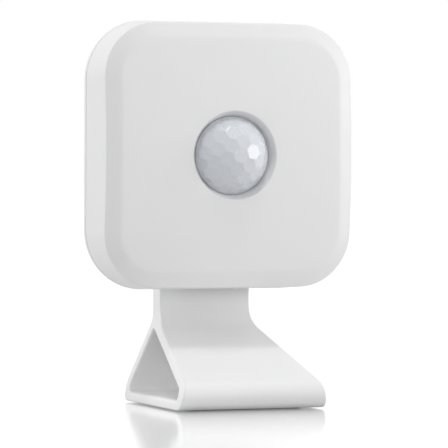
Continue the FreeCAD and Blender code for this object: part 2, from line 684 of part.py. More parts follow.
def stand():
    lean = (HEEL_Y - STEM_REAR) / (REAR_BEND_Z - BASE_LIFT)
    outline = [(STEM_FRONT, STEM_TOP, STEM_TOP_EDGE_R),
               (STEM_FRONT, ramp_height(STEM_FRONT), KNEE_R),
               (RAMP_FOOT_Y, BASE_LIFT, FOOT_R),
               (HEEL_Y, BASE_LIFT, HEEL_R),
               (STEM_REAR, REAR_BEND_Z, REAR_BEND_R),
               (STEM_REAR, STEM_TOP, STEM_TOP_EDGE_R)]
    half = BASE_WIDTH / 2 + 1
    loop = Part.Face(rounded_outline(outline, side_view))
    loop.translate(V(-half, 0, 0))
    loop = loop.extrude(V(2 * half, 0, 0))
    floor = BASE_LIFT + FLOOR_T
    inner_rear = STEM_REAR - LEG_T
    toe_y = RAMP_FOOT_Y + (floor - ramp_height(RAMP_FOOT_Y, RAMP_T)) / SLOPE
    apex_z = ramp_height(inner_rear, RAMP_T)
    opening = [(inner_rear, apex_z, APEX_R),
               (toe_y, floor, TOE_R),
               (inner_rear + (apex_z - floor) * lean, floor, HEEL_INNER_R)]
    hole = Part.Face(rounded_outline(opening, side_view))
    hole.translate(V(-half - 1, 0, 0))
    hole = hole.extrude(V(2 * half + 2, 0, 0))
    loop = loop.cut(hole)
    right = [(STEM_WIDTH / 2, STEM_TOP + 0.01, STEM_CORNER_R),
             (STEM_WIDTH / 2, FLARE_TOP, FLARE_BLEND_R),
             (KNUCKLE_WIDTH / 2, KNUCKLE_Z, FLARE_BLEND_R),
             (BASE_WIDTH / 2, 0, 0)]
    outline = right + [(-x, z, radius) for x, z, radius in reversed(right)]
    front = Part.Face(rounded_outline(outline, front_view))
    front.translate(V(0, -30, 0))
    ribbon = loop.common(front.extrude(V(0, 60, 0)))
    across = PAD_WIDTH / 2 + PAD_GAP
    along = PAD_LENGTH / 2 + PAD_GAP
    ribbon = ribbon.cut(block(-across, across, -along, along, 0, PAD_T))
    neck_front = STEM_FRONT - RAIL_NECK_T
    neck = block(-RAIL_NECK / 2, RAIL_NECK / 2, neck_front - 0.1, STEM_FRONT + 0.2, RAIL_BOTTOM, RAIL_TOP)
    head = block(-RAIL_HEAD / 2, RAIL_HEAD / 2, neck_front - RAIL_HEAD_T, neck_front, RAIL_BOTTOM, RAIL_TOP)
    return ribbon.fuse(neck).fuse(head).removeSplitter()


def foot_pad():
    pad = block(-PAD_WIDTH / 2, PAD_WIDTH / 2, -PAD_LENGTH / 2, PAD_LENGTH / 2, 0, PAD_T)
    upright = edges_where(pad, lambda e: e.BoundBox.ZLength > PAD_T - 0.01)
    return pad.makeFillet(PAD_CORNER_R, upright)


# ---------------------------------------------------------------- write every piece
PIECES = {
    "stand": stand,
    "foot_pad": foot_pad,
    "rear_cover": rear_cover,
    "front_cover": front_cover,
    "fresnel_lens": fresnel_lens,
    "lens_retainer": lens_retainer,
    "sensor_shroud": sensor_shroud,
    "circuit_board": circuit_board,
    "pir_base": pir_base,
    "pir_can": pir_can,
    "pir_window": pir_window,
    "radio_shield": radio_shield,
    "radio_chip": radio_chip,
    "chip_antenna": chip_antenna,
    "radio_crystal": radio_crystal,
    "clock_crystal": clock_crystal,
    "signal_amplifier": signal_amplifier,
    "memory_chip": memory_chip,
    "thermistor": thermistor,
    "resistors": resistors,
    "capacitors": capacitors,
    "bulk_capacitor": bulk_capacitor,
    "inductor": inductor,
    "battery_holder": battery_holder,
    "positive_clip": positive_clip,
    "negative_contact": negative_contact,
    "cell_can": cell_can,
    "cell_gasket": cell_gasket,
    "cell_cap": cell_cap,
    "switch_base": switch_base,
    "switch_cover": switch_cover,
    "switch_plunger": switch_plunger,
    "board_screws": board_screws,
}


def main():
    for name, maker in PIECES.items():
        shape = maker()
        shape.exportStep("parts/" + name + ".step")
        box = shape.BoundBox
        print(name, shape.isValid(), "solids", len(shape.Solids), "volume", round(shape.Volume, 2),
              "y", round(box.YMin, 2), round(box.YMax, 2), "z", round(box.ZMin, 2), round(box.ZMax, 2))


main()
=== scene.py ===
import math

import bmesh
import bpy
from mathutils import Matrix, Vector
from mathutils.geometry import delaunay_2d_cdt


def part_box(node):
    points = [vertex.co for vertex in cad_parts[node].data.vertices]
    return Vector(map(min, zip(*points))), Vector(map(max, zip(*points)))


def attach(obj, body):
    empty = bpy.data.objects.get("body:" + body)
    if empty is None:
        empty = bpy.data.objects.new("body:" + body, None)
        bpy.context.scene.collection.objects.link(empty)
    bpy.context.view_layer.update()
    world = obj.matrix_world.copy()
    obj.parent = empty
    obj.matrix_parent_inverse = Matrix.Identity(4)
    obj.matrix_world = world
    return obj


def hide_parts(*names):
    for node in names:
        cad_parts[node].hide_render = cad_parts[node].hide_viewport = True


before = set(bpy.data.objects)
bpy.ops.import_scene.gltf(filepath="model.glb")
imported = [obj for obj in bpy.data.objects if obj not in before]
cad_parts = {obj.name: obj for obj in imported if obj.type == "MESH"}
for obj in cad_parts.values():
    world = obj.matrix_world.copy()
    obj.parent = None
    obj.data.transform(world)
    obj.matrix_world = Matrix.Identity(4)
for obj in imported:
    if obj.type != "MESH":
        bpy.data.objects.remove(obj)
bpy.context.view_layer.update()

MM = 0.001

# ---------------------------------------------------------------- places, from the frame
BOARD_LOW, BOARD_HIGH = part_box("circuit_board")
BOARD_DEPTH = 5.9                       # the board's front lies this far behind the face, mm
FACE_Y = BOARD_LOW.y / MM - BOARD_DEPTH
LENS_LOW, LENS_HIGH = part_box("fresnel_lens")
HEAD_Z = (LENS_LOW.z + LENS_HIGH.z) / 2 / MM
AIM_DEPTH = 0.49                        # the camera is placed about a point this far behind the face
HEAD_CENTRE = Vector((0, (FACE_Y + AIM_DEPTH) * MM, HEAD_Z * MM))
CELL_LOW, CELL_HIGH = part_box("cell_can")

# ---------------------------------------------------------------- head, mm
FACE_DOME_R = 148.0
FRONT_HALF, FRONT_CORNER = 20.9, 8.6
REAR_HALF, REAR_CORNER = 21.6, 9.7
HEAD_DEPTH, PARTING_DEPTH = 11.45, 10.35
BEVEL_WIDTH, BEVEL_DEPTH, BEVEL_BLEND = 2.4, 0.7, 0.43
RIM_REACH = 0.18                        # how far the crisp outer edge is rounded
WALL, FACE_WALL = 1.4, 1.5
LENS_SEAT, LENS_HOLE_R, LENS_LIP_R = 2.25, 6.42, 0.8
LIP_ROUND, LIP_END, NECK_R = 0.22, 1.8, 6.25    # the hole's mouth narrows inwards as a cone
LIP_SLOPE = 0.38                        # of that cone against the lens's axis, radians
FLANGE_GAP = 0.08
FLANGE_R, FLANGE_T, CUP_OUTER_R, CUP_END = 7.9, 0.8, 9.05, 3.9
LENS_DOME_R, LENS_DOME_CENTRE, LENS_WALL = 6.6, 3.95, 0.5
BOSS_POS, BOSS_R, SCREW_HOLE_R = 15.2, 2.0, 0.65
BOSS_FRONT, SCREW_HOLE_FRONT = 2.9, 3.2
RIB_OFFSET, RIB_T, RIB_REACH, RIB_FRONT, RIB_ROOT = 7.0, 0.8, 1.9, 3.0, 0.4
SIDE_DEPTHS = (9.0, 7.4, 5.8, 4.4)      # rings down the side of the cover
BEVEL_INSETS = (0.6, 1.2, 1.6, BEVEL_WIDTH - BEVEL_BLEND, 2.18, BEVEL_WIDTH, 2.62,
                BEVEL_WIDTH + BEVEL_BLEND)
BORDER_INSET, INNER_RIM_DEPTH, INNER_BORDER = 3.4, 4.6, 0.9
SCREW_PLACES = [(x, z) for x in (-BOSS_POS, BOSS_POS) for z in (-BOSS_POS, BOSS_POS)]
AXIS_R = 0.02                           # lathe profiles stop this close to their axis

# ---------------------------------------------------------------- stand, mm
STEM_FRONT, STEM_T, STEM_WIDTH, STEM_TOP, STEM_CORNER_R = 8.5, 3.45, 15.6, 37.2, 2.5
RAMP_T, LEG_T, FLOOR_T = 1.7, 1.9, 1.5
BASE_WIDTH, KNUCKLE_WIDTH, KNUCKLE_Z, FLARE_TOP, FLARE_BLEND_R = 25.0, 23.9, 3.3, 13.5, 5.5
FOOT_FRONT, FOOT_R, RAMP_ANGLE, KNEE_R = 13.7, 2.35, 22.0, 4.6
HEEL_Y, HEEL_R, REAR_BEND_Z, REAR_BEND_R = 13.0, 1.3, 12.6, 8.0
APEX_R, TOE_R, HEEL_INNER_R, BASE_LIFT = 0.2, 1.0, 0.8, 0.2
OUTER_EDGE_R, OPENING_EDGE_R = 0.3, 0.5
RAIL_BOTTOM, RAIL_TOP, RAIL_NECK, RAIL_HEAD = 22.8, 35.6, 5.0, 8.2
RAIL_NECK_T, RAIL_HEAD_T, RAIL_EDGE_R, RAIL_EASE, RAIL_SINK = 1.0, 0.85, 0.12, 0.05, 0.2
STEM_TOP_R, LOOP_SPACING, PAD_GAP = 0.6, 0.5, 0.1
SLIVER = 1e-4                           # triangles under half this area are left out, square mm


# ---------------------------------------------------------------- material helpers
class Look:
    """A Principled material with a small set of procedural layers."""

    def __init__(self, name, colour, roughness, **sockets):
        self.material = bpy.data.materials.new(name)
        self.material.use_nodes = True
        self.tree = self.material.node_tree
        self.shader = self.tree.nodes["Principled BSDF"]
        self.colour = colour
        self.roughness = roughness
        self.shader.inputs["Base Color"].default_value = (*colour, 1.0)
        self.shader.inputs["Roughness"].default_value = roughness
        for key, value in sockets.items():
            self.shader.inputs[key.replace("_", " ")].default_value = value
        self.place = self.node("ShaderNodeTexCoord").outputs["Object"]
        self.normal = None

    def node(self, kind, **inputs):
        made = self.tree.nodes.new(kind)
        for key, value in inputs.items():
            socket = made.inputs[key.replace("_", " ")]
            if isinstance(value, bpy.types.NodeSocket):
                self.tree.links.new(value, socket)
            else:
                socket.default_value = value
        return made

    def stretched(self, x, y, z):
        """Object coordinates with each axis scaled on its own."""
        return self.node("ShaderNodeMapping", Vector=self.place, Scale=(x, y, z)).outputs["Vector"]

    def noise(self, scale, detail=3.0, where=None):
        made = self.node("ShaderNodeTexNoise", Vector=where or self.place, Scale=scale, Detail=detail)
        return made.outputs["Fac"]

    def between(self, value, low, high, new_low, new_high):
        made = self.node("ShaderNodeMapRange", Value=value)
        ends = {"From Min": low, "From Max": high, "To Min": new_low, "To Max": new_high}
        for key, number in ends.items():
            made.inputs[key].default_value = number
        return made.outputs["Result"]

    def bump(self, height, strength, distance):
        made = self.node("ShaderNodeBump", Height=height, Strength=strength, Distance=distance)
        if self.normal is not None:
            self.tree.links.new(self.normal, made.inputs["Normal"])
        self.normal = made.outputs["Normal"]
        self.tree.links.new(self.normal, self.shader.inputs["Normal"])
        return self

    def tint(self, factor, other):
        """Mixes another colour over what the base colour already is."""
        made = self.node("ShaderNodeMix")
        made.data_type = "RGBA"
        colour_a = made.inputs[6]
        colour_b = made.inputs[7]
        self.tree.links.new(factor, made.inputs[0])
        base = self.shader.inputs["Base Color"]
        if base.is_linked:
            self.tree.links.new(base.links[0].from_socket, colour_a)
        else:
            colour_a.default_value = base.default_value
        colour_b.default_value = (*other, 1.0)
        self.tree.links.new(made.outputs[2], base)
        return self

    def axis(self, vector, name):
        """One coordinate of a vector."""
        return self.node("ShaderNodeSeparateXYZ", Vector=vector).outputs[name]

    def bare_edges(self, colour):
        """Another colour on faces that don't look forwards or back."""
        normal = self.node("ShaderNodeNewGeometry").outputs["Normal"]
        facing = self.node("ShaderNodeMath", Value=self.axis(normal, "Y"))
        facing.operation = "ABSOLUTE"
        return self.tint(self.between(facing.outputs[0], 0.3, 0.6, 1.0, 0.0), colour)

    def glow(self, strength):
        """Light of its own that shows on the surface but doesn't light its surroundings."""
        paths = self.node("ShaderNodeLightPath")
        amount = self.between(paths.outputs["Diffuse Depth"], 0.0, 1.0, strength, 0.0)
        self.tree.links.new(amount, self.shader.inputs["Emission Strength"])

    def gloss(self, factor, low, high):
        """Roughness that runs from low to high with the factor."""
        self.tree.links.new(self.between(factor, 0.3, 0.7, low, high), self.shader.inputs["Roughness"])
        return self


def moulded(name, colour, roughness, grain=0.12, **sockets):
    """Injection-moulded plastic: fine spark-eroded grain, faint flow waves and cloudy gloss."""
    look = Look(name, colour, roughness, **sockets)
    look.bump(look.noise(9000, 2.0), grain, 0.000006)
    look.bump(look.noise(120, 1.0), 0.1, 0.00002)
    look.gloss(look.noise(400, 4.0), roughness - 0.04, roughness + 0.05)
    cloud = look.between(look.noise(60, 2.0), 0.35, 0.65, 0.0, 1.0)
    look.tint(cloud, tuple(channel * 0.985 for channel in colour))
    return look.material


def metal(name, colour, roughness, brushed=(1, 1, 1), scratch=0.15):
    """Metal sheet with a rolling or brushing direction and light scratches."""
    look = Look(name, colour, roughness, Metallic=1.0)
    lines = look.noise(900, 4.0, look.stretched(*brushed))
    look.bump(lines, scratch, 0.00001)
    look.gloss(look.noise(700, 5.0), roughness - 0.08, roughness + 0.12)
    look.tint(look.between(lines, 0.4, 0.7, 0.0, 0.5), tuple(channel * 0.82 for channel in colour))
    return look.material


# ---------------------------------------------------------------- mesh helpers
def in_frame(x, depth, z):
    """A point on the head, given behind the face and about the head's centre, in metres."""
    return Vector((x, FACE_Y + depth, HEAD_Z + z)) * MM


def add_piece(name, mesh, material, body, replaced=(), sharp=38.0):
    mesh.polygons.foreach_set("use_smooth", [True] * len(mesh.polygons))
    mesh.set_sharp_from_angle(angle=math.radians(sharp))
    mesh.materials.append(material)
    piece = bpy.data.objects.new(name, mesh)
    bpy.context.scene.collection.objects.link(piece)
    weighted = piece.modifiers.new("even_normals", "WEIGHTED_NORMAL")
    weighted.keep_sharp = True
    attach(piece, body)
    if replaced:
        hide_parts(*replaced)
    return piece


def finished(bm, name):
    bmesh.ops.remove_doubles(bm, verts=bm.verts, dist=1e-8)
    bmesh.ops.recalc_face_normals(bm, faces=bm.faces)
    mesh = bpy.data.meshes.new(name)
    bm.to_mesh(mesh)
    bm.free()
    return mesh


def loft(bm, rings, closed=False):
    """Skins closed rings of points. With closed set, the last ring joins the first."""
    rows = [[bm.verts.new(point) for point in ring] for ring in rings]
    pairs = list(zip(rows, rows[1:]))
    if closed:
        pairs.append((rows[-1], rows[0]))
    for low, high in pairs:
        for i in range(len(low)):
            j = (i + 1) % len(low)
            bm.faces.new((low[i], low[j], high[j], high[i]))
    return rows


def turned(bm, profile, steps, x=0.0, z=0.0):
    """Lathe shape on the head about an axis along Y. The profile is (radius, depth) and closed."""
    rings = []
    for radius, depth in profile:
        ring = []
        for k in range(steps):
            angle = 2 * math.pi * k / steps
            ring.append(in_frame(x + radius * math.cos(angle), depth, z + radius * math.sin(angle)))
        rings.append(ring)
    return loft(bm, rings, closed=True)


def soft_box(bm, low, high, radius):
    """Box with rounded edges, corners in metres."""
    middle = (Vector(low) + Vector(high)) / 2
    size = Vector(high) - Vector(low)
    place = Matrix.Translation(middle) @ Matrix.Diagonal((*size, 1.0))
    made = bmesh.ops.create_cube(bm, size=1.0, matrix=place)
    edges = {edge for vert in made["verts"] for edge in vert.link_edges}
    if radius > 0:
        bmesh.ops.bevel(bm, geom=list(edges), offset=radius, segments=3, profile=0.5, affect="EDGES")


def head_box(bm, x, z, width, height, front, back, radius=0.05):
    soft_box(bm, in_frame(x - width / 2, front, z - height / 2),
             in_frame(x + width / 2, back, z + height / 2), radius * MM)


def islands(node):
    """Boxes of the separate solids in a CAD node, as (low, high) in metres."""
    bm = bmesh.new()
    bm.from_mesh(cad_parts[node].data)
    bmesh.ops.remove_doubles(bm, verts=bm.verts, dist=1e-7)
    left = set(bm.verts)
    boxes = []
    while left:
        group, stack = set(), [left.pop()]
        while stack:
            vert = stack.pop()
            group.add(vert)
            for edge in vert.link_edges:
                other = edge.other_vert(vert)
                if other in left:
                    left.remove(other)
                    stack.append(other)
        low = Vector([min(v.co[k] for v in group) for k in range(3)])
        high = Vector([max(v.co[k] for v in group) for k in range(3)])
        boxes.append((low, high))
    bm.free()
    return sorted(boxes, key=lambda box: tuple(round(c, 6) for c in box[0]))


# ---------------------------------------------------------------- front cover
CORNER_STEPS, SIDE_STEPS = 18, 14


def outline_template():
    """Points round a rounded square as (core x, core z, normal x, normal z), all within +-1."""
    points = []
    signs = [(1, 1), (-1, 1), (-1, -1), (1, -1)]
    for quarter, (sx, sz) in enumerate(signs):
        for k in range(CORNER_STEPS + 1):
            angle = math.pi / 2 * (quarter + k / CORNER_STEPS)
            points.append((sx, sz, math.cos(angle), math.sin(angle)))
        nx, nz = signs[(quarter + 1) % 4]
        angle = math.pi / 2 * (quarter + 1)
        for k in range(1, SIDE_STEPS):
            share = k / SIDE_STEPS
            points.append((sx + (nx - sx) * share, sz + (nz - sz) * share, math.cos(angle), math.sin(angle)))
    return points


TEMPLATE = outline_template()


def dome(x, z):
    """Depth of the domed face at a point."""
    return FACE_DOME_R - math.sqrt(FACE_DOME_R ** 2 - x * x - z * z)


def outline_point(index, depth, inset):
    """Where the head's flared outline, moved inwards by inset, is at a depth."""
    share = depth / HEAD_DEPTH
    half = FRONT_HALF + share * (REAR_HALF - FRONT_HALF)
    corner = FRONT_CORNER + share * (REAR_CORNER - FRONT_CORNER)
    cx, cz, nx, nz = TEMPLATE[index]
    core, reach = half - corner, corner - inset
    return core * cx + reach * nx, core * cz + reach * nz


def rim_depth(index):
    """Depth at which the bevel meets the side."""
    depth = BEVEL_DEPTH
    for _ in range(3):
        depth = dome(*outline_point(index, depth, 0)) + BEVEL_DEPTH
    return depth


RIM = [rim_depth(index) for index in range(len(TEMPLATE))]


def bevel(inset):
    """How far the border round the face lies behind the dome."""
    slope = BEVEL_DEPTH / BEVEL_WIDTH
    start, end = BEVEL_WIDTH - BEVEL_BLEND, BEVEL_WIDTH + BEVEL_BLEND
    if inset >= end:
        return 0.0
    if inset <= start:
        return slope * (BEVEL_WIDTH - inset)
    return slope * (end - inset) ** 2 / (2 * (end - start))


def face_ring(inset, extra=0.0):
    """Ring on the face or bevel. With extra set, on the inner side of the face's wall."""
    ring = []
    for index, rim in enumerate(RIM):
        x, z = outline_point(index, rim, inset)
        ring.append(in_frame(x, dome(x, z) + (extra or bevel(inset)), z))
    return ring


def side_ring(depth, inset):
    return [in_frame(*flat_point(index, depth, inset)) for index in range(len(TEMPLATE))]


def flat_point(index, depth, inset):
    x, z = outline_point(index, depth, inset)
    return x, depth, z


def rim_rings(steps):
    """The crisp rounded edge between the bevel and the side."""
    rings = [[] for _ in range(steps + 1)]
    for index, rim in enumerate(RIM):
        x, z = outline_point(index, rim, RIM_REACH)
        inner = Vector((x, dome(x, z) + bevel(RIM_REACH), z))
        edge = Vector(flat_point(index, rim, 0))
        outer = Vector(flat_point(index, rim + RIM_REACH, 0))
        for k in range(steps + 1):
            t = k / steps
            point = inner * (1 - t) ** 2 + edge * 2 * t * (1 - t) + outer * t * t
            rings[k].append(in_frame(*point))
    return rings


def circle_ring(radius, depth=None, extra=0.0):
    """Circle whose points lie in the same directions as the outline's."""
    ring = []
    for index in range(len(TEMPLATE)):
        x, z = outline_point(index, 0, 3.0)
        angle = math.atan2(z, x)
        x, z = radius * math.cos(angle), radius * math.sin(angle)
        ring.append(in_frame(x, dome(x, z) + extra if depth is None else depth, z))
    return ring


def spread(first, last, steps, extra=0.0):
    """Rings between two others, laid on the domed face."""
    rings = []
    for k in range(1, steps):
        share = k / steps
        ring = []
        for a, b in zip(first, last):
            point = a.lerp(b, share)
            x, z = point.x / MM, point.z / MM - HEAD_Z
            ring.append(in_frame(x, dome(x, z) + extra, z))
        rings.append(ring)
    return rings


def make_front_cover(material):
    rings = [side_ring(PARTING_DEPTH, 0.12), side_ring(PARTING_DEPTH - 0.03, 0.03)]
    for depth in (PARTING_DEPTH - 0.12, *SIDE_DEPTHS):
        rings.append(side_ring(depth, 0.0))
    rings += reversed(rim_rings(5))
    for inset in BEVEL_INSETS:
        rings.append(face_ring(inset))
    border = face_ring(BORDER_INSET)
    mouth = LENS_HOLE_R + LENS_LIP_R
    rings.append(border)
    rings += spread(border, circle_ring(mouth), 12)
    centre = dome(mouth, 0) + LIP_ROUND
    for k in range(7):
        angle = (math.pi / 2 - LIP_SLOPE) * k / 6
        rings.append(circle_ring(mouth - LIP_ROUND * math.sin(angle), centre - LIP_ROUND * math.cos(angle)))
    for radius, depth in ((NECK_R, LIP_END), (NECK_R, LENS_SEAT), (FLANGE_R + FLANGE_GAP, LENS_SEAT),
                          (FLANGE_R + FLANGE_GAP, CUP_END), (CUP_OUTER_R, CUP_END)):
        rings.append(circle_ring(radius, depth))
    cup_foot = circle_ring(CUP_OUTER_R, extra=FACE_WALL)
    inner_border = face_ring(WALL + INNER_BORDER, FACE_WALL)
    rings.append(cup_foot)
    rings += spread(cup_foot, inner_border, 5, FACE_WALL)
    rings.append(inner_border)
    rings.append(side_ring(INNER_RIM_DEPTH, WALL))
    rings.append(side_ring(PARTING_DEPTH - 0.05, WALL))
    rings.append(side_ring(PARTING_DEPTH, WALL - 0.05))
    bm = bmesh.new()
    loft(bm, rings, closed=True)
    inner = FRONT_HALF - WALL
    for offset in (-RIB_OFFSET, RIB_OFFSET):
        for side in (-1, 1):
            middle = side * (inner - RIB_REACH / 2 + RIB_ROOT)
            head_box(bm, offset, middle, RIB_T, RIB_REACH, RIB_FRONT, BOARD_DEPTH)
            head_box(bm, middle, offset, RIB_REACH, RIB_T, RIB_FRONT, BOARD_DEPTH)
    for x, z in SCREW_PLACES:
        turned(bm, [(BOSS_R, BOSS_FRONT), (BOSS_R, BOARD_DEPTH - 0.1), (BOSS_R - 0.1, BOARD_DEPTH),
                    (SCREW_HOLE_R + 0.15, BOARD_DEPTH), (SCREW_HOLE_R, BOARD_DEPTH - 0.15),
                    (SCREW_HOLE_R, SCREW_HOLE_FRONT), (AXIS_R, SCREW_HOLE_FRONT), (AXIS_R, BOSS_FRONT)],
               32, x, z)
    add_piece("front_cover_shell", finished(bm, "front_cover_shell"), material,
              "sensor_module", ["front_cover"])


# ---------------------------------------------------------------- stand
def arc_corner(previous, corner, following, radius, step_angle=9.0):
    """Points that round one corner of a flat outline."""
    corner = Vector(corner)
    a = (Vector(previous) - corner).normalized()
    b = (Vector(following) - corner).normalized()
    half = a.angle(b) / 2
    centre = corner + (a + b).normalized() * radius / math.sin(half)
    start = corner + a * radius / math.tan(half) - centre
    end = corner + b * radius / math.tan(half) - centre
    first = math.atan2(start.y, start.x)
    turn = (math.atan2(end.y, end.x) - first + math.pi) % (2 * math.pi) - math.pi
    steps = max(2, round(abs(math.degrees(turn)) / step_angle))
    points = []
    for k in range(steps + 1):
        angle = first + turn * k / steps
        points.append(centre + radius * Vector((math.cos(angle), math.sin(angle))))
    return points


def rounded_loop(corners, spacing=None):
    """Closed outline through (u, v, radius) corners, its straight runs cut to the spacing."""
    pieces = []
    count = len(corners)
    for i, (u, v, radius) in enumerate(corners):
        if radius > 0:
            pieces.append(arc_corner(corners[i - 1][:2], (u, v), corners[(i + 1) % count][:2], radius))
        else:
            pieces.append([Vector((u, v))])
    loop = []
    for i, piece in enumerate(pieces):
        loop += piece
        start, end = piece[-1], pieces[(i + 1) % count][0]
        if spacing:
            steps = int((end - start).length / spacing)
            loop += [start.lerp(end, k / (steps + 1)) for k in range(1, steps + 1)]
    return loop


def shifted(loop, distance):
    """The outline moved square to itself, inwards when distance is positive."""
    area = sum(a.x * b.y - b.x * a.y for a, b in zip(loop, loop[1:] + loop[:1]))
    side = math.copysign(1.0, area)
    moved = []
    for i, point in enumerate(loop):
        before = (point - loop[i - 1]).normalized()
        after = (loop[(i + 1) % len(loop)] - point).normalized()
        along = (before + after).normalized()
        normal = Vector((-along.y, along.x)) * side
        moved.append(point + normal * distance / max(0.4, along.dot(after)))
    return moved


def inside(point, loop):
    """Whether the point lies in the flat outline."""
    odd = False
    for a, b in zip(loop, loop[1:] + loop[:1]):
        if (a.y > point.y) != (b.y > point.y):
            if point.x < a.x + (point.y - a.y) * (b.x - a.x) / (b.y - a.y):
                odd = not odd
    return odd


def half_width_table():
    """Half width of the ribbon against height, from its outline seen from the front."""
    right = [(0, STEM_TOP, 0), (STEM_WIDTH / 2, STEM_TOP, STEM_CORNER_R),
             (STEM_WIDTH / 2, FLARE_TOP, FLARE_BLEND_R),
             (KNUCKLE_WIDTH / 2, KNUCKLE_Z, FLARE_BLEND_R), (BASE_WIDTH / 2, 0, 0), (0, 0, 0)]
    return sorted((p.y, p.x) for p in rounded_loop(right) if p.x > 1)


HALF_WIDTHS = half_width_table()


def half_width(z):
    if z <= HALF_WIDTHS[0][0]:
        return HALF_WIDTHS[0][1]
    for (low, at_low), (high, at_high) in zip(HALF_WIDTHS, HALF_WIDTHS[1:]):
        if z <= high:
            share = (z - low) / max(high - low, 1e-9)
            return at_low + (at_high - at_low) * share
    return HALF_WIDTHS[-1][1]


def ribbon_loops():
    """Outer outline and triangular opening of the folded ribbon, seen from the side."""
    slope = math.tan(math.radians(RAMP_ANGLE))
    foot_y = FOOT_R - FOOT_FRONT - FOOT_R / math.tan(math.radians(RAMP_ANGLE / 2))
    rear = STEM_FRONT + STEM_T

    def ramp(y, drop=0.0):
        return BASE_LIFT + (y - foot_y) * slope - drop / math.cos(math.radians(RAMP_ANGLE))

    outer = [(STEM_FRONT, STEM_TOP, STEM_TOP_R), (STEM_FRONT, ramp(STEM_FRONT), KNEE_R),
             (foot_y, BASE_LIFT, FOOT_R), (HEEL_Y, BASE_LIFT, HEEL_R),
             (rear, REAR_BEND_Z, REAR_BEND_R), (rear, STEM_TOP, STEM_TOP_R)]
    floor = BASE_LIFT + FLOOR_T
    inner_rear = rear - LEG_T
    apex_z = ramp(inner_rear, RAMP_T)
    lean = (HEEL_Y - rear) / (REAR_BEND_Z - BASE_LIFT)
    opening = [(inner_rear, apex_z, APEX_R),
               (foot_y + (floor - ramp(foot_y, RAMP_T)) / slope, floor, TOE_R),
               (inner_rear + (apex_z - floor) * lean, floor, HEEL_INNER_R)]
    return rounded_loop(outer, LOOP_SPACING), rounded_loop(opening, LOOP_SPACING)


def across(loop, edge_r, direction, steps=5):
    """Rings of a loop across the ribbon, rounded at both ends."""
    rings = []
    for side in (-1, 1):
        group = []
        for k in range(steps + 1):
            angle = math.pi / 2 * k / steps
            moved = shifted(loop, direction * edge_r * (1 - math.sin(angle)))
            back = edge_r * (1 - math.cos(angle))
            group.append([Vector((side * (half_width(p.y) - back), p.x, p.y)) * MM for p in moved])
        rings += group if side < 0 else reversed(group)
    return rings


def end_faces(outer, opening):
    """Triangles of the ribbon's end face, between its outline and its opening."""
    rim = shifted(outer, OUTER_EDGE_R)
    hole = shifted(opening, -OPENING_EDGE_R)
    count = len(rim)
    points = rim + hole
    edges = [(i, (i + 1) % count) for i in range(count)]
    edges += [(count + i, count + (i + 1) % len(hole)) for i in range(len(hole))]
    made = delaunay_2d_cdt(points, edges, [], 0, 1e-6)
    triangles = []
    for face in made[2]:
        a, b, c = (made[0][i] for i in face)
        middle = (a + b + c) / 3
        thin = abs((b - a).cross(c - a)) < SLIVER
        if inside(middle, rim) and not inside(middle, hole) and not thin:
            triangles.append((a, b, c))
    return triangles


def make_stand(material):
    outer, opening = ribbon_loops()
    bm = bmesh.new()
    loft(bm, across(outer, OUTER_EDGE_R, 1))
    loft(bm, across(opening, OPENING_EDGE_R, -1))
    for side in (-1, 1):
        for triangle in end_faces(outer, opening):
            corners = [Vector((side * half_width(p.y), p.x, p.y)) * MM for p in triangle]
            bm.faces.new([bm.verts.new(corner) for corner in corners])
    ribbon = finished(bm, "stand_ribbon")
    pad_low, pad_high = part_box("foot_pad")
    cutter = bmesh.new()
    gap = Vector((PAD_GAP, PAD_GAP, 0)) * MM
    soft_box(cutter, pad_low - gap - Vector((0, 0, MM)), pad_high + gap, 0)
    ribbon = carved(ribbon, finished(cutter, "pad_recess"))
    bm = bmesh.new()
    bm.from_mesh(ribbon)
    neck_front = STEM_FRONT - RAIL_NECK_T
    soft_box(bm, Vector((-RAIL_NECK / 2, neck_front - RAIL_EASE, RAIL_BOTTOM + RAIL_EASE)) * MM,
             Vector((RAIL_NECK / 2, STEM_FRONT + RAIL_SINK, RAIL_TOP - RAIL_EASE)) * MM, 0)
    soft_box(bm, Vector((-RAIL_HEAD / 2, neck_front - RAIL_HEAD_T, RAIL_BOTTOM)) * MM,
             Vector((RAIL_HEAD / 2, neck_front, RAIL_TOP)) * MM, RAIL_EDGE_R * MM)
    mesh = bpy.data.meshes.new("stand_ribbon_with_rail")
    bm.to_mesh(mesh)
    bm.free()
    add_piece("stand_ribbon", mesh, material, "stand", ["stand"])


def carved(mesh, cutter_mesh):
    """The mesh with the cutter taken away."""
    body = bpy.data.objects.new("carve_body", mesh)
    cutter = bpy.data.objects.new("carve_cutter", cutter_mesh)
    for item in (body, cutter):
        bpy.context.scene.collection.objects.link(item)
    cut = body.modifiers.new("cut", "BOOLEAN")
    cut.operation = "DIFFERENCE"
    cut.object = cutter
    cut.solver = "EXACT"
    bpy.context.view_layer.update()
    graph = bpy.context.evaluated_depsgraph_get()
    result = bpy.data.meshes.new_from_object(body.evaluated_get(graph))
    for item in (body, cutter):
        bpy.data.objects.remove(item)
    return result


# ---------------------------------------------------------------- lens
CELL_FLAT = 2.3                         # one moulded lens facet, flat to flat, mm
CELL_TURN = math.radians(-15)
CELL_SINK = 0.14                        # middle of a facet below its corners: nearly flat
SHOULDER_DEPTH, SHOULDER_R, SHOULDER_EDGE = 1.45, 6.22, 0.06    # where the dome meets its hole, mm
LENS_AROUND, LENS_OUTWARD, LENS_INWARD = 180, 64, 20    # rows and rings of the lens's mesh
FADE_RINGS = 3                          # rings at the edge over which the facets fade out


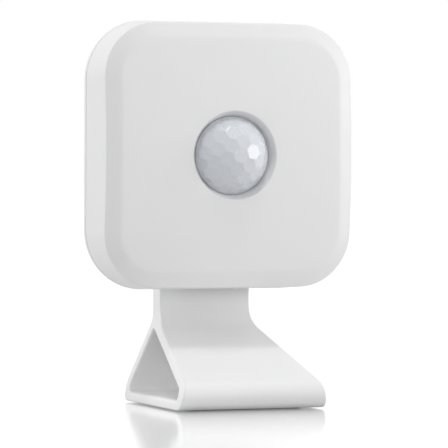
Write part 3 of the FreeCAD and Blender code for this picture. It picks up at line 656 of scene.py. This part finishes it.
def facet_height(a, b):
    """Height of the hexagonal facets against the dome at a point of the unrolled dome."""
    u = a * math.cos(CELL_TURN) - b * math.sin(CELL_TURN)
    v = a * math.sin(CELL_TURN) + b * math.cos(CELL_TURN)
    row_height = CELL_FLAT * math.sqrt(3) / 2
    nearest = None
    first_row = math.floor(v / row_height)
    for row in (first_row, first_row + 1):
        shift = CELL_FLAT / 2 * (row % 2)
        column = round((u - shift) / CELL_FLAT)
        gap = (u - shift - column * CELL_FLAT) ** 2 + (v - row * row_height) ** 2
        if nearest is None or gap < nearest:
            nearest = gap
    return -CELL_SINK * (1 - nearest / (CELL_FLAT ** 2 / 3))


def lens_ring(radius, depth):
    """Circle about the lens's axis."""
    ring = []
    for i in range(LENS_AROUND):
        turn = 2 * math.pi * i / LENS_AROUND
        ring.append(in_frame(radius * math.cos(turn), depth, radius * math.sin(turn)))
    return ring


def make_lens(material):
    bm = bmesh.new()
    edge_angle = math.acos((LENS_DOME_CENTRE - SHOULDER_DEPTH) / LENS_DOME_R)
    widening = (SHOULDER_R - SHOULDER_EDGE) / (LENS_DOME_R * math.sin(edge_angle)) - 1
    rings = []
    for k in range(1, LENS_OUTWARD + 1):
        polar = edge_angle * k / LENS_OUTWARD
        ring = []
        for i in range(LENS_AROUND):
            turn = 2 * math.pi * i / LENS_AROUND
            flat = polar * LENS_DOME_R
            fade = min(1.0, (LENS_OUTWARD - k) / FADE_RINGS)
            rise = facet_height(flat * math.cos(turn), flat * math.sin(turn))
            radius = LENS_DOME_R + rise * fade
            reach = radius * math.sin(polar) * (1 + widening * (k / LENS_OUTWARD) ** 2)
            ring.append(in_frame(reach * math.cos(turn), LENS_DOME_CENTRE - radius * math.cos(polar),
                                 reach * math.sin(turn)))
        rings.append(ring)
    inner_r = LENS_DOME_R - LENS_WALL
    throat = math.sqrt(inner_r ** 2 - (LENS_DOME_CENTRE - LENS_SEAT) ** 2)
    back = LENS_SEAT + FLANGE_T
    for radius, depth in ((SHOULDER_R, SHOULDER_DEPTH + 0.1), (SHOULDER_R, LENS_SEAT),
                          (FLANGE_R - 0.05, LENS_SEAT), (FLANGE_R, LENS_SEAT + 0.05),
                          (FLANGE_R, back - 0.05), (FLANGE_R - 0.05, back),
                          (throat, back), (throat, LENS_SEAT)):
        rings.append(lens_ring(radius, depth))
    inner_edge = math.asin(throat / inner_r)
    for k in range(LENS_INWARD - 1, 0, -1):
        polar = inner_edge * k / LENS_INWARD
        rings.append(lens_ring(inner_r * math.sin(polar), LENS_DOME_CENTRE - inner_r * math.cos(polar)))
    rows = loft(bm, rings)
    for row, radius in ((rows[0], LENS_DOME_R + facet_height(0, 0)), (rows[-1], inner_r)):
        tip = bm.verts.new(in_frame(0, LENS_DOME_CENTRE - radius, 0))
        for i in range(LENS_AROUND):
            bm.faces.new((row[i], row[(i + 1) % LENS_AROUND], tip))
    add_piece("lens_dome", finished(bm, "lens_dome"), material, "sensor_module",
              ["fresnel_lens"], sharp=60.0)


# ---------------------------------------------------------------- materials of the outside
WHITE = (0.86, 0.86, 0.865)
STAND_WHITE = (0.90, 0.90, 0.905)
SHELL = moulded("shell_white", WHITE, 0.42, Specular_IOR_Level=0.25)
STAND = moulded("stand_white", STAND_WHITE, 0.38, grain=0.08, Specular_IOR_Level=0.25)
LENS = moulded("lens_milky", (0.73, 0.755, 0.80), 0.26, grain=0.02, Transmission_Weight=0.06,
               Specular_IOR_Level=0.8, Coat_Weight=0.12, Coat_Roughness=0.2)


def board_look():
    """Green solder mask over copper tracks, with bare glass fibre at the cut edges."""
    look = Look("solder_mask", (0.010, 0.085, 0.045), 0.28)
    flat = look.node("ShaderNodeMapping", Vector=look.place, Rotation=(math.pi / 2, 0, 0)).outputs["Vector"]
    tracks = look.node("ShaderNodeTexBrick", Vector=flat, Scale=1000.0, Mortar_Size=0.09,
                       Mortar_Smooth=0.2, Brick_Width=2.7, Row_Height=0.75).outputs["Fac"]
    look.tint(tracks, (0.025, 0.17, 0.085))
    look.bump(tracks, 0.5, 0.00003)
    look.bump(look.noise(5000, 2.0), 0.05, 0.00001)
    look.gloss(look.noise(300, 3.0), 0.22, 0.34)
    look.bare_edges((0.42, 0.37, 0.2))
    return look.material


def speckled(name, colour, other, roughness, scale=6000):
    """Fired ceramic or pressed ferrite: fine grains of two tones."""
    look = Look(name, colour, roughness)
    grains = look.noise(scale, 3.0)
    look.tint(look.between(grains, 0.4, 0.65, 0.0, 1.0), other)
    look.bump(grains, 0.25, 0.000012)
    look.gloss(look.noise(1500, 2.0), roughness - 0.05, roughness + 0.08)
    return look.material


def foam_look():
    look = Look("black_foam", (0.022, 0.022, 0.024), 0.92, Sheen_Weight=0.3)
    cells = look.node("ShaderNodeTexVoronoi", Vector=look.place, Scale=4500.0).outputs["Distance"]
    look.bump(cells, 0.9, 0.00006)
    # painted shade: the pits of the foam's cells are darkened in the colour, where the bump sinks them
    look.tint(look.between(cells, 0.0, 0.3, 1.0, 0.0), (0.006, 0.006, 0.007))
    return look.material


BAR_SHARE, BAR_BLUR = 0.22, 0.00003


def tantalum_look():
    """Moulded yellow case with the brown bar that marks the positive end."""
    low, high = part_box("bulk_capacitor")
    look = Look("tantalum_case", (0.72, 0.42, 0.07), 0.42)
    bar_end = low.x + (high.x - low.x) * BAR_SHARE
    bar = look.between(look.axis(look.place, "X"), bar_end - BAR_BLUR, bar_end + BAR_BLUR, 1.0, 0.0)
    look.tint(bar, (0.22, 0.10, 0.03))
    look.bump(look.noise(7000, 2.0), 0.15, 0.00001)
    look.gloss(look.noise(900, 3.0), 0.36, 0.5)
    return look.material


def window_look():
    """Silicon filter: nearly black, with a faint violet sheen painted into its colour in patches."""
    look = Look("silicon_filter", (0.03, 0.018, 0.04), 0.08, Coat_Weight=0.6)
    # painted sheen: patches of violet mixed into the base colour, standing in for the window's reflection
    look.tint(look.between(look.noise(500, 2.0), 0.4, 0.6, 0.0, 1.0), (0.045, 0.02, 0.05))
    look.bump(look.noise(2500, 2.0), 0.03, 0.00001)
    look.gloss(look.noise(900, 3.0), 0.06, 0.14)
    return look.material


def pad_look():
    """Grey silicone with a fine moulded grip."""
    look = Look("grip_silicone", (0.17, 0.17, 0.18), 0.62)
    grip = look.node("ShaderNodeTexVoronoi", Vector=look.place, Scale=1100.0).outputs["Distance"]
    look.bump(grip, 0.6, 0.00008)
    look.tint(look.between(look.noise(200, 3.0), 0.4, 0.65, 0.0, 0.8), (0.21, 0.21, 0.215))
    look.gloss(look.noise(600, 3.0), 0.55, 0.7)
    return look.material


def cell_look():
    """Nickel-plated steel, turned, so that the fine lines run round the cell."""
    look = Look("cell_nickel", (0.66, 0.66, 0.64), 0.24, Metallic=1.0)
    centre = (CELL_LOW + CELL_HIGH) / 2
    moved = look.node("ShaderNodeVectorMath", Vector=look.place)
    moved.operation = "SUBTRACT"
    moved.inputs[1].default_value = centre
    length = look.node("ShaderNodeVectorMath", Vector=moved.outputs["Vector"])
    length.operation = "LENGTH"
    lines = look.node("ShaderNodeTexNoise", Scale=9000.0, Detail=2.0)
    lines.noise_dimensions = "1D"
    look.tree.links.new(length.outputs["Value"], lines.inputs["W"])
    look.bump(lines.outputs["Fac"], 0.2, 0.000008)
    look.tint(look.between(look.noise(250, 3.0), 0.45, 0.7, 0.0, 0.6), (0.56, 0.56, 0.55))
    look.gloss(look.noise(900, 4.0), 0.18, 0.36)
    return look.material


RETAINER = moulded("natural_nylon", (0.70, 0.69, 0.64), 0.45)
HOLDER = moulded("holder_black", (0.022, 0.022, 0.024), 0.42, grain=0.2)
GASKET = moulded("gasket_grey", (0.10, 0.10, 0.11), 0.5)
PLUNGER = moulded("plunger_ivory", (0.66, 0.62, 0.50), 0.42)
CHIP = moulded("chip_epoxy", (0.018, 0.018, 0.020), 0.52, grain=0.3)
TIN = metal("tinned_sheet", (0.66, 0.66, 0.64), 0.30, brushed=(0.25, 1, 3))
SOLDER = metal("solder", (0.70, 0.70, 0.69), 0.26, scratch=0.25)
GOLD = metal("gold_plating", (0.86, 0.62, 0.26), 0.26, brushed=(1, 1, 0.3))
SCREW = metal("screw_steel", (0.42, 0.42, 0.43), 0.30)
CELL = cell_look()
CERAMIC = speckled("sensor_ceramic", (0.64, 0.60, 0.50), (0.56, 0.52, 0.43), 0.5)
ANTENNA = speckled("antenna_ceramic", (0.60, 0.61, 0.60), (0.52, 0.54, 0.55), 0.4)
CAPACITOR = speckled("capacitor_ceramic", (0.40, 0.27, 0.16), (0.33, 0.22, 0.13), 0.38)
RESISTOR = speckled("resistor_glaze", (0.020, 0.021, 0.024), (0.030, 0.031, 0.036), 0.35)
FERRITE = speckled("inductor_ferrite", (0.060, 0.060, 0.062), (0.035, 0.035, 0.036), 0.65, 9000)

NODE_LOOKS = {
    "stand": STAND, "front_cover": SHELL, "rear_cover": SHELL, "fresnel_lens": LENS, "foot_pad": pad_look(),
    "lens_retainer": RETAINER, "sensor_shroud": foam_look(), "circuit_board": board_look(),
    "pir_base": CERAMIC, "pir_can": TIN, "pir_window": window_look(), "radio_shield": TIN,
    "radio_chip": CHIP, "chip_antenna": ANTENNA, "radio_crystal": TIN, "clock_crystal": TIN,
    "signal_amplifier": CHIP, "memory_chip": CHIP, "thermistor": RESISTOR, "resistors": RESISTOR,
    "capacitors": CAPACITOR, "bulk_capacitor": tantalum_look(), "inductor": FERRITE,
    "battery_holder": HOLDER, "positive_clip": GOLD, "negative_contact": GOLD, "cell_can": CELL,
    "cell_gasket": GASKET, "cell_cap": CELL, "switch_base": HOLDER, "switch_cover": TIN,
    "switch_plunger": PLUNGER, "board_screws": SCREW,
}
for node, look in NODE_LOOKS.items():
    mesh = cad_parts[node].data
    mesh.materials.clear()
    mesh.materials.append(look)


# ---------------------------------------------------------------- details on the board
BOARD_T = (BOARD_HIGH.y - BOARD_LOW.y) / MM
PLATING = 0.015                         # metal ends stand this far proud of the body, mm
SOLDER_REACH = 0.28
TOUCH = 1e-6                            # parts this close to the board stand on it, metres


def on_front(high):
    """Whether a part with this high corner stands on the board's front."""
    return abs(high.y - BOARD_LOW.y) < TOUCH


def terminal(bm, low, high, end, length):
    """Metal end of a soldered part, with its fillet of solder on the board."""
    front = on_front(high)
    board_y = BOARD_LOW.y if front else BOARD_HIGH.y
    top_y = low.y - PLATING * MM if front else high.y + PLATING * MM
    tip = (high.x if end > 0 else low.x) + end * PLATING * MM
    back = tip - end * length * MM
    z_low, z_high = low.z - PLATING * MM, high.z + PLATING * MM
    soft_box(bm, (min(tip, back), min(board_y, top_y), z_low), (max(tip, back), max(board_y, top_y), z_high),
             0.03 * MM)
    rise = (top_y - board_y) * 0.7
    reach = end * SOLDER_REACH * MM
    profile = [(0, 0), (reach, 0), (reach * 0.4, rise * 0.22), (reach * 0.12, rise * 0.55), (0, rise)]
    ends = [[bm.verts.new((tip + x, board_y + y, z)) for x, y in profile] for z in (z_low, z_high)]
    bm.faces.new(ends[0])
    bm.faces.new(reversed(ends[1]))
    for i in range(len(profile)):
        j = (i + 1) % len(profile)
        bm.faces.new((ends[0][i], ends[0][j], ends[1][j], ends[1][i]))


def make_terminals(node, length):
    bm = bmesh.new()
    for low, high in islands(node):
        for end in (-1, 1):
            terminal(bm, low, high, end, length)
    add_piece(node + "_terminals", finished(bm, node + "_terminals"), SOLDER, "sensor_module")


LEAD_WIDTH, LEAD_T, LEAD_PITCH, LEADS_A_SIDE = 0.40, 0.18, 1.27, 4
LEAD_ROOT, LEAD_BEND, LEAD_SHOULDER, LEAD_TOE, LEAD_DROP = -0.05, 0.30, 0.45, 1.0, 0.7  # from the case


def make_amplifier_leads():
    """Gull-wing leads along the top and bottom of the amplifier."""
    low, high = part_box("signal_amplifier")
    middle = (low + high) / 2
    x0 = middle.x / MM
    z0 = middle.z / MM - HEAD_Z
    half = (high.z - low.z) / MM / 2
    bm = bmesh.new()
    for side in (-1, 1):
        for k in range(LEADS_A_SIDE):
            x = x0 + (k - (LEADS_A_SIDE - 1) / 2) * LEAD_PITCH
            shoulder, foot = BOARD_DEPTH - LEAD_DROP, BOARD_DEPTH
            for start, end, front, back in ((LEAD_ROOT, LEAD_SHOULDER, shoulder, shoulder + LEAD_T),
                                            (LEAD_BEND, LEAD_BEND + LEAD_T, shoulder, foot),
                                            (LEAD_BEND, LEAD_TOE, foot - LEAD_T, foot)):
                z = z0 + side * (half + (start + end) / 2)
                head_box(bm, x, z, LEAD_WIDTH, end - start, front, back, 0.04)
    add_piece("amplifier_leads", finished(bm, "amplifier_leads"), SOLDER, "sensor_module")


PAD_R, PAD_HEIGHT, PAD_SINK, PAD_STEP, PAD_ROW = 0.5, 0.02, 0.01, 1.7, -6.6
RING_INNER_R, RING_OUTER_R = 1.2, 1.95


def make_gold_pads():
    """Test pads in a row, and the bare rings round the screws, on the board's rear."""
    rear = BOARD_DEPTH + BOARD_T
    bm = bmesh.new()
    for k in range(-4, 4):
        turned(bm, [(AXIS_R, rear - PAD_SINK), (PAD_R, rear - PAD_SINK), (PAD_R, rear + PAD_HEIGHT),
                    (AXIS_R, rear + PAD_HEIGHT)], 28, k * PAD_STEP, PAD_ROW)
    for x, z in SCREW_PLACES:
        turned(bm, [(RING_INNER_R, rear - PAD_SINK), (RING_OUTER_R, rear - PAD_SINK),
                    (RING_OUTER_R, rear + PAD_HEIGHT), (RING_INNER_R, rear + PAD_HEIGHT)], 40, x, z)
    add_piece("gold_pads", finished(bm, "gold_pads"), GOLD, "sensor_module")


MARK_INNER_R, MARK_OUTER_R, MARK_HEIGHT, MARK_INSET = 0.14, 0.26, 0.01, 0.65


def make_chip_marks():
    """Small rings that mark the first lead of each chip."""
    bm = bmesh.new()
    for node in ("signal_amplifier", "memory_chip", "radio_chip"):
        low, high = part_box(node)
        front = on_front(high)
        top = (low.y if front else high.y) / MM - FACE_Y
        out = -MARK_HEIGHT if front else MARK_HEIGHT
        x = low.x / MM + MARK_INSET
        z = high.z / MM - HEAD_Z - MARK_INSET
        turned(bm, [(MARK_INNER_R, top - out), (MARK_OUTER_R, top - out),
                    (MARK_OUTER_R, top + out), (MARK_INNER_R, top + out)], 24, x, z)
    add_piece("chip_marks", finished(bm, "chip_marks"), CHIP, "sensor_module")


CAN_EDGE_R, CAN_SHEET, GROOVE_R, GROOVE_WIDTH, GROOVE_DEPTH = 0.5, 0.3, 8.3, 0.35, 0.05


def make_cell_can():
    """Pressed can of the coin cell, with a shallow ring groove in its broad face."""
    radius = (CELL_HIGH.x - CELL_LOW.x) / MM / 2
    z = (CELL_LOW.z + CELL_HIGH.z) / MM / 2 - HEAD_Z
    front, back = CELL_LOW.y / MM - FACE_Y, CELL_HIGH.y / MM - FACE_Y
    profile = [(radius - 0.04, front), (radius, front + 0.04)]
    for k in range(9):
        angle = math.pi / 2 * k / 8
        profile.append((radius - CAN_EDGE_R * (1 - math.cos(angle)),
                        back - CAN_EDGE_R * (1 - math.sin(angle))))
    for reach, drop in ((0.5, 0.0), (0.3, GROOVE_DEPTH), (-0.3, GROOVE_DEPTH), (-0.5, 0.0)):
        profile.append((GROOVE_R + reach * GROOVE_WIDTH * 1.6, back - drop))
    inner = back - CAN_SHEET
    profile += [(AXIS_R, back), (AXIS_R, inner), (radius - CAN_SHEET, inner), (radius - CAN_SHEET, front)]
    bm = bmesh.new()
    turned(bm, profile, 128, 0.0, z)
    add_piece("cell_can_pressed", finished(bm, "cell_can_pressed"), CELL, "sensor_module",
              ["cell_can"])


CLIP_SHEET, CLIP_BEND_R, CLIP_FOOT_LENGTH = 0.2, 0.35, 2.2


def make_positive_clip():
    """Strip bent twice, from its foot on the board up and over the cell's rim."""
    low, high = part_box("positive_clip")
    foot, back = low.y / MM - FACE_Y, high.y / MM - FACE_Y
    left, right = low.x / MM, high.x / MM
    wall = left + CLIP_FOOT_LENGTH
    inner_r = CLIP_BEND_R - CLIP_SHEET
    corners = [(left, foot, 0), (wall + CLIP_SHEET, foot, CLIP_BEND_R),
               (wall + CLIP_SHEET, back - CLIP_SHEET, inner_r), (right, back - CLIP_SHEET, 0),
               (right, back, 0), (wall, back, CLIP_BEND_R),
               (wall, foot + CLIP_SHEET, inner_r), (left, foot + CLIP_SHEET, 0)]
    loop = rounded_loop(corners)
    bm = bmesh.new()
    rings = [[Vector((p.x * MM, (FACE_Y + p.y) * MM, z)) for p in loop] for z in (low.z, high.z)]
    rows = loft(bm, rings)
    bm.faces.new(rows[0])
    bm.faces.new(reversed(rows[1]))
    add_piece("positive_clip_strip", finished(bm, "positive_clip_strip"), GOLD, "sensor_module",
              ["positive_clip"])


make_front_cover(SHELL)
make_stand(STAND)
make_lens(LENS)
for node, length in (("resistors", 0.3), ("capacitors", 0.35), ("thermistor", 0.3),
                     ("bulk_capacitor", 0.5), ("chip_antenna", 0.7)):
    make_terminals(node, length)
make_amplifier_leads()
make_gold_pads()
make_chip_marks()
make_cell_can()
make_positive_clip()

# ---------------------------------------------------------------- floor
FLOOR_HALF, FLOOR_GLOW = 3.0, 0.4
floor_mesh = bpy.data.meshes.new("floor")
corners = [(-FLOOR_HALF, -FLOOR_HALF, 0), (FLOOR_HALF, -FLOOR_HALF, 0),
           (FLOOR_HALF, FLOOR_HALF, 0), (-FLOOR_HALF, FLOOR_HALF, 0)]
floor_mesh.from_pydata(corners, [], [(0, 1, 2, 3)])
floor = bpy.data.objects.new("floor", floor_mesh)
bpy.context.scene.collection.objects.link(floor)
FLOOR = Look("floor_white", (0.6, 0.6, 0.6), 0.15, Coat_Weight=0.9, Coat_Roughness=0.12)
FLOOR.shader.inputs["Emission Color"].default_value = (1.0, 1.0, 1.0, 1.0)
FLOOR.glow(FLOOR_GLOW)
floor_mesh.materials.append(FLOOR.material)


# ---------------------------------------------------------------- light
def make_world(ambient):
    """White backdrop that lights the object only softly."""
    world = bpy.data.worlds.new("studio")
    bpy.context.scene.world = world
    world.use_nodes = True
    tree = world.node_tree
    background = tree.nodes["Background"]
    background.inputs["Color"].default_value = (1, 1, 1, 1)
    paths = tree.nodes.new("ShaderNodeLightPath")
    strength = tree.nodes.new("ShaderNodeMapRange")
    strength.inputs["To Min"].default_value = 1.0
    strength.inputs["To Max"].default_value = ambient
    tree.links.new(paths.outputs["Diffuse Depth"], strength.inputs["Value"])
    tree.links.new(strength.outputs["Result"], background.inputs["Strength"])


LIGHT_DISTANCE = 0.8
AIM_SHARE = 0.7                         # the lights are aimed at this share of the head's height


def area_light(name, azimuth, elevation, size, power):
    """Square soft box aimed at the object from a direction in degrees, azimuth 0 in front."""
    across_angle, up_angle = math.radians(azimuth), math.radians(elevation)
    place = Vector((math.sin(across_angle) * math.cos(up_angle),
                    -math.cos(across_angle) * math.cos(up_angle), math.sin(up_angle))) * LIGHT_DISTANCE
    lamp = bpy.data.lights.new(name, "AREA")
    lamp.size = size
    lamp.energy = power
    holder = bpy.data.objects.new(name, lamp)
    bpy.context.scene.collection.objects.link(holder)
    aim = Vector((0, 0, HEAD_CENTRE.z * AIM_SHARE))
    holder.location = aim + place
    holder.rotation_euler = (-place).to_track_quat("-Z", "Y").to_euler()


AMBIENT = 0.64
# name, azimuth and elevation in degrees, size in metres, power in watts
LIGHTS = (("right_light", 72, 7, 0.4, 2.6),
          ("low_front_light", 8, 1, 0.3, 0.8),
          ("low_left_light", -60, 5, 0.12, 0.2),
          ("left_light", -125, 12, 0.4, 2.0),
          ("top_light", 0, 78, 0.15, 1.3))
make_world(AMBIENT)
for light in LIGHTS:
    area_light(*light)

# ---------------------------------------------------------------- camera
AZIMUTH, ELEVATION, DISTANCE = math.radians(-21.61), math.radians(-0.11), 519.1 * MM
YAW, PITCH, ROLL = math.radians(0.180), math.radians(-1.203), math.radians(0.264)
SENSOR_WIDTH, FOCAL_LENGTH = 36.0, 262.6


def place_camera():
    back = Vector((math.sin(AZIMUTH) * math.cos(ELEVATION),
                   -math.cos(AZIMUTH) * math.cos(ELEVATION),
                   math.sin(ELEVATION)))
    right = (-back).cross(Vector((0, 0, 1))).normalized()
    up = right.cross(-back)
    basis = Matrix((right, up, back)).transposed()
    for angle, about in ((YAW, "Y"), (PITCH, "X"), (ROLL, "Z")):
        basis = basis @ Matrix.Rotation(angle, 3, about)
    camera_data = bpy.data.cameras.new("camera")
    camera_data.sensor_width = SENSOR_WIDTH
    camera_data.lens = FOCAL_LENGTH
    camera_data.clip_start = 0.01
    camera_data.clip_end = 50
    camera = bpy.data.objects.new("camera", camera_data)
    bpy.context.scene.collection.objects.link(camera)
    camera.matrix_world = Matrix.Translation(HEAD_CENTRE + back * DISTANCE) @ basis.to_4x4()
    bpy.context.scene.camera = camera


place_camera()
bpy.context.scene.view_settings.view_transform = "Standard"
